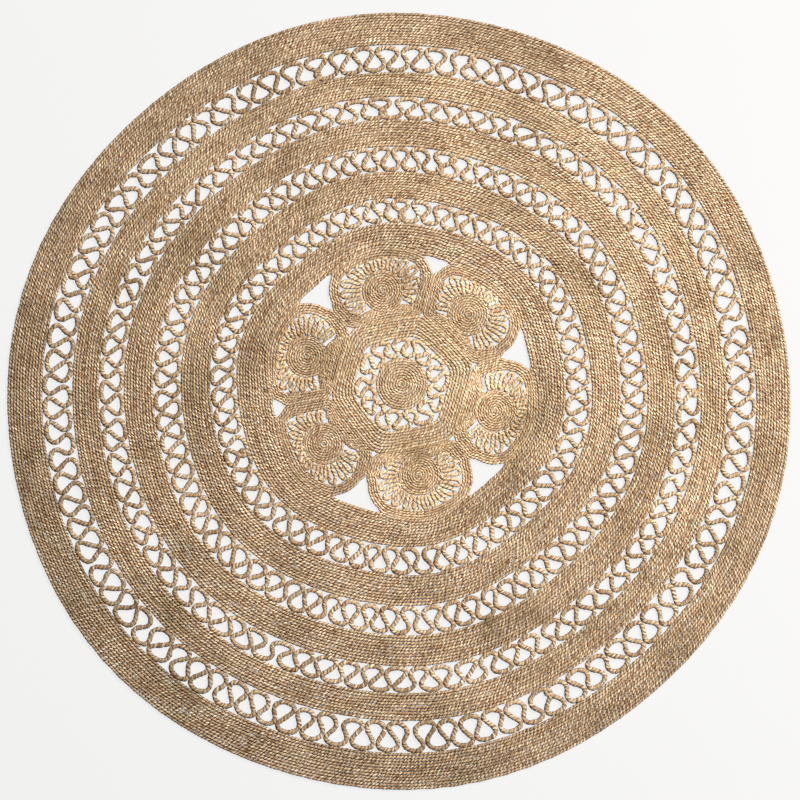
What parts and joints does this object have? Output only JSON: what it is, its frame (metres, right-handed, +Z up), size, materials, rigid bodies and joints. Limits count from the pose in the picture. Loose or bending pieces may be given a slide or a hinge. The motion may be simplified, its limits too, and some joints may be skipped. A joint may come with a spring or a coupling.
{
  "type": "area rug",
  "caption": "Round flat rug of jute cord: a coiled medallion with looped petals inside wide rings of rows and openwork.",
  "frame": {"origin": "on the floor under the middle of the rug's outline", "axes": "+Z up out of the rug's face; the medallion sits 41 mm from the middle towards +Y"},
  "size_m": [1.8372, 1.8228, 0.0085],
  "materials": {
    "jute_band": "twisted jute cord, stitched side by side, matt",
    "jute_lace": "twisted jute cord, looped, matt",
    "jute_medallion": "twisted jute cord, coiled, matt",
    "jute_petal": "thin twisted jute cord, coiled and folded, matt"
  },
  "bodies": {
    "root": {"medallion_coil": "jute_medallion", "medallion_lace": "jute_lace", "medallion_wrap": "jute_medallion", "petal_1_coil": "jute_petal", "petal_1_fingers": "jute_petal", "petal_1_wrap": "jute_petal", "petal_2_coil": "jute_petal", "petal_2_fingers": "jute_petal", "petal_2_wrap": "jute_petal", "petal_3_coil": "jute_petal", "petal_3_fingers": "jute_petal", "petal_3_wrap": "jute_petal", "petal_4_coil": "jute_petal", "petal_4_fingers": "jute_petal", "petal_4_wrap": "jute_petal", "petal_5_coil": "jute_petal", "petal_5_fingers": "jute_petal", "petal_5_wrap": "jute_petal", "petal_6_coil": "jute_petal", "petal_6_fingers": "jute_petal", "petal_6_wrap": "jute_petal", "band_1": "jute_band", "band_2": "jute_band", "band_3": "jute_band", "band_4": "jute_band", "band_5": "jute_band", "lace_1": "jute_lace", "lace_2": "jute_lace", "lace_3": "jute_lace", "lace_4": "jute_lace"}
  },
  "joints": []
}
